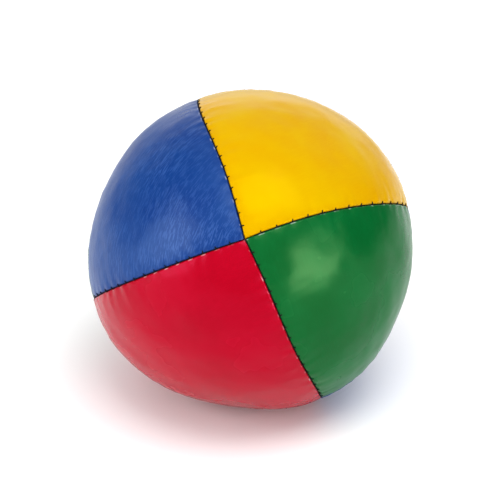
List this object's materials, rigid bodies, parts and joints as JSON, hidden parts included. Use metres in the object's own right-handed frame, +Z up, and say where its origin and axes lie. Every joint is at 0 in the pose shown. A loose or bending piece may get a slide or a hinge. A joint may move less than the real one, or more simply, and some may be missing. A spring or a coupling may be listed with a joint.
{
  "type": "juggling ball",
  "caption": "Grain-filled juggling ball of smooth leathercloth triangles in four colours, sewn with dark thread and settled on a small flat patch.",
  "frame": {"origin": "centre of the flat patch that the ball settles on, on the surface it stands on", "axes": "+Z up through the ball's centre; -Y towards the side where the yellow, green, red and blue front panels meet, which looks out about 34 degrees above the horizon; +X towards the yellow and green seam's outer end"},
  "size_m": [0.068, 0.068, 0.0665],
  "materials": {
    "leathercloth_blue": "smooth glossy imitation leather with fine stretch creases",
    "leathercloth_yellow": "smooth glossy imitation leather",
    "leathercloth_green": "smooth glossy imitation leather",
    "leathercloth_red": "smooth glossy imitation leather",
    "cotton_lining": "plain-woven undyed cotton",
    "millet_grain": "dry hulled grain",
    "sewing_thread": "twisted polyester, slight sheen"
  },
  "bodies": {
    "root": {"skin_yellow_front": "leathercloth_yellow", "skin_green_front": "leathercloth_green", "skin_red_front": "leathercloth_red", "skin_blue_front": "leathercloth_blue", "skin_red_back": "leathercloth_red", "skin_blue_back": "leathercloth_blue", "skin_yellow_back": "leathercloth_yellow", "skin_green_back": "leathercloth_green", "lining_yellow_front": "cotton_lining", "lining_green_front": "cotton_lining", "lining_red_front": "cotton_lining", "lining_blue_front": "cotton_lining", "lining_red_back": "cotton_lining", "lining_blue_back": "cotton_lining", "lining_yellow_back": "cotton_lining", "lining_green_back": "cotton_lining", "grain_filling": "millet_grain", "thread_front_right": "sewing_thread", "thread_front_left": "sewing_thread", "thread_front_long": "sewing_thread", "thread_back_right": "sewing_thread", "thread_back_left": "sewing_thread", "thread_back_long": "sewing_thread", "thread_girdle": "sewing_thread", "closing_thread": "sewing_thread", "closing_knot": "sewing_thread"}
  },
  "joints": []
}
